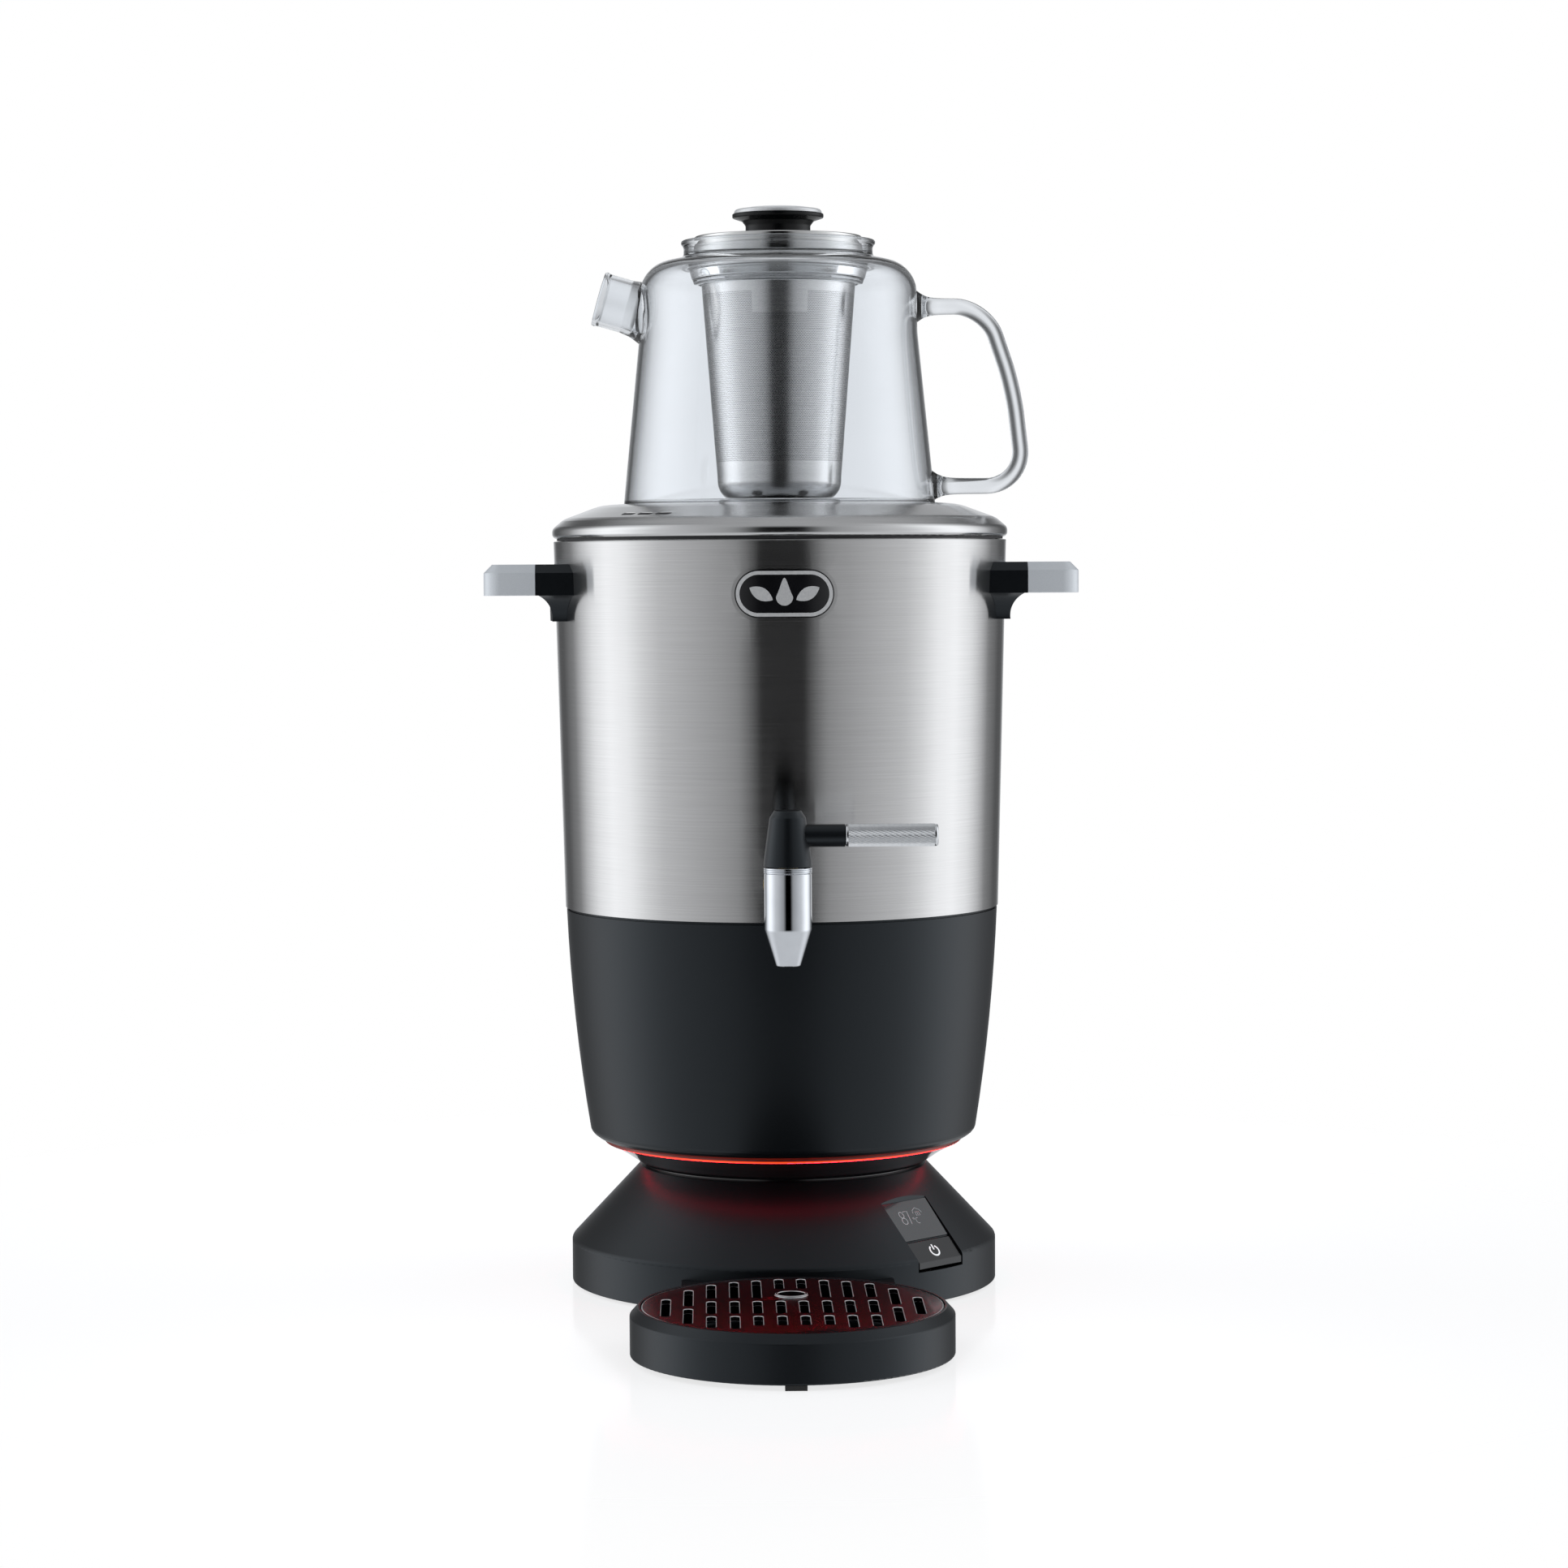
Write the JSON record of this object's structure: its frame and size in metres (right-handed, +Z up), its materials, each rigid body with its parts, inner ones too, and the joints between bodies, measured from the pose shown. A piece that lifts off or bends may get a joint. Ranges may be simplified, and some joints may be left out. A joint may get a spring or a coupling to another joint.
{
  "type": "electric samovar",
  "caption": "Electric samovar: steel water tank with a lever tap, lit conical base and drip tray, and a glass teapot with infuser keeping warm on top.",
  "frame": {"origin": "on the tank's vertical axis, at the surface the samovar stands on (underside of the centre foot)", "axes": "+Z up; -Y to the front, where the tap and drip tray are; +X to the side of the teapot's handle"},
  "size_m": [0.28, 0.3757, 0.5157],
  "materials": {
    "tank_steel": "horizontal fine brushing",
    "lid_steel": "spun satin steel",
    "vessel_steel": "drawn stainless steel",
    "infuser_steel": "satin steel, finely perforated",
    "polished_steel": "polished steel",
    "chrome": "bright chrome plate",
    "satin_chrome": "satin chrome plate",
    "grille_steel": "dark polished steel",
    "black_plastic": "fine matt moulded",
    "gloss_black": "glossy moulded",
    "black_enamel": "glossy enamel",
    "light_diffuser": "translucent, lit from behind",
    "display_glass": "tinted pane",
    "glass": "clear borosilicate glass",
    "rubber": "matt",
    "silicone": "matt",
    "steel_hardware": "zinc plated",
    "aluminium": "cast, machined face",
    "brass": "turned",
    "circuit_board": "soldered board",
    "white_plastic": "matt moulded",
    "wire_sleeve": "braided sleeve"
  },
  "bodies": {
    "samovar": {"base_cover": "black_plastic", "panel_frame": "black_plastic", "lower_housing": "black_plastic", "left_handle_bracket": "black_plastic", "right_handle_bracket": "black_plastic", "base_plate": "black_plastic", "base_feet": "rubber", "cord_gland": "rubber", "base_screws": "steel_hardware", "tie_bolts": "steel_hardware", "handle_screws": "steel_hardware", "tap_nut": "steel_hardware", "support_columns": "steel_hardware", "heat_shield": "steel_hardware", "terminal_block": "white_plastic", "button_switch": "white_plastic", "power_board": "circuit_board", "control_board": "circuit_board", "led_board": "circuit_board", "wiring": "wire_sleeve", "display_window": "display_glass", "neck_bowl": "gloss_black", "light_ring": "light_diffuser", "heater_plate": "aluminium", "heater_element": "polished_steel", "thermal_fuse": "polished_steel", "boil_dry_thermostat": "polished_steel", "temperature_probe": "polished_steel", "steel_shell": "tank_steel", "water_vessel": "vessel_steel", "vessel_floor": "vessel_steel", "badge_plate": "black_enamel", "badge_ring": "chrome", "tap_body": "chrome", "tap_ring": "chrome", "left_handle_grip": "satin_chrome", "right_handle_grip": "satin_chrome", "tap_shank": "brass", "tap_gaskets": "silicone"},
    "tap_handle": {"tap_cap": "black_plastic", "valve_plug": "brass", "lever_stub": "black_plastic", "lever_grip": "chrome"},
    "power_button": {"power_button": "black_plastic", "switch_plunger": "white_plastic"},
    "tank_lid": {"tank_lid": "lid_steel", "lid_seal": "silicone"},
    "teapot": {"teapot_body": "glass", "teapot_floor": "glass", "teapot_spout": "glass", "teapot_handle": "glass"},
    "infuser": {"infuser_basket": "infuser_steel", "infuser_collar": "infuser_steel"},
    "teapot_lid": {"teapot_lid": "infuser_steel", "knob_stem": "black_plastic", "knob_cap": "chrome", "knob_screw": "steel_hardware"},
    "drip_tray": {"drip_tray": "black_plastic", "tray_feet": "rubber"},
    "drip_grille": {"drip_grille": "grille_steel"}
  },
  "joints": [
    {"name": "tap_lever_turn", "type": "hinge", "parent": "samovar", "child": "tap_handle", "pos_m": [0, -0.15, 0.2249], "axis": [0, 0, 1], "range_deg": [-90, 0]},
    {"name": "power_button_press", "type": "slide", "parent": "samovar", "child": "power_button", "axis": [-0.525, 0.5177, -0.6756], "range_m": [0, 0.001], "stiffness_N_per_m": 800, "springref_m": -0.0005},
    {"name": "tank_lid_lift", "type": "slide", "parent": "samovar", "child": "tank_lid", "axis": [0, 0, 1], "range_m": [0, 0.12]},
    {"name": "teapot_lift", "type": "slide", "parent": "tank_lid", "child": "teapot", "axis": [0, 0, 1], "range_m": [0, 0.1]},
    {"name": "infuser_lift", "type": "slide", "parent": "teapot", "child": "infuser", "axis": [0, 0, 1], "range_m": [0, 0.14]},
    {"name": "teapot_lid_lift", "type": "slide", "parent": "infuser", "child": "teapot_lid", "axis": [0, 0, 1], "range_m": [0, 0.06]},
    {"name": "drip_tray_slide", "type": "slide", "parent": "samovar", "child": "drip_tray", "axis": [0, -1, 0], "range_m": [0, 0.05]},
    {"name": "drip_grille_lift", "type": "slide", "parent": "drip_tray", "child": "drip_grille", "axis": [0, 0, 1], "range_m": [0, 0.04]}
  ]
}
